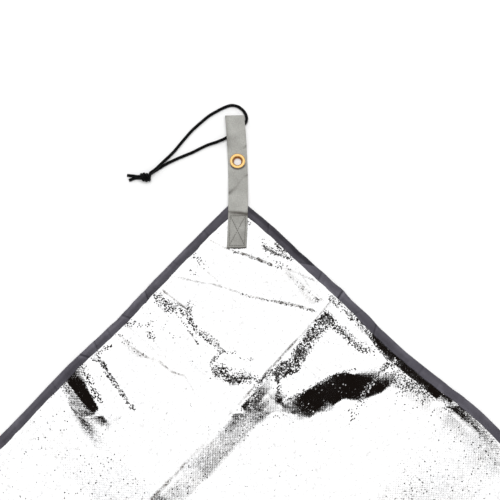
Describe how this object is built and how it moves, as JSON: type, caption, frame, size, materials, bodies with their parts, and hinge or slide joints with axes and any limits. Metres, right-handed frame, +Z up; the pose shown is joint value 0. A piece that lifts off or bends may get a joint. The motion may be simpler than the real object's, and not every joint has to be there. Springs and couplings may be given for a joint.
{
  "type": "foil camping mat",
  "caption": "Silver foil ground mat with dark bound edges, a webbing strap with an eyelet at each corner, and an elastic tie looped through each strap.",
  "frame": {"origin": "middle of the mat's underside, on the ground", "axes": "+X along the mat's long side, +Y along its short side, +Z up"},
  "size_m": [2.1894, 1.7459, 0.0125],
  "materials": {
    "foil": "aluminised woven film, bright and crinkled",
    "tape": "dark grey-violet woven binding tape, matt",
    "webbing": "light grey ribbed webbing",
    "brass": "polished brass-coloured eyelet",
    "cord": "black braided elastic cord"
  },
  "bodies": {
    "root": {"foil_sheet": "foil", "binding_north": "tape", "binding_east": "tape", "binding_south": "tape", "binding_west": "tape", "strap_ne": "webbing", "eyelet_ne": "brass", "cord_ne": "cord", "knot_ne": "cord", "strap_nw": "webbing", "eyelet_nw": "brass", "cord_nw": "cord", "knot_nw": "cord", "strap_sw": "webbing", "eyelet_sw": "brass", "cord_sw": "cord", "knot_sw": "cord", "strap_se": "webbing", "eyelet_se": "brass", "cord_se": "cord", "knot_se": "cord"}
  },
  "joints": []
}
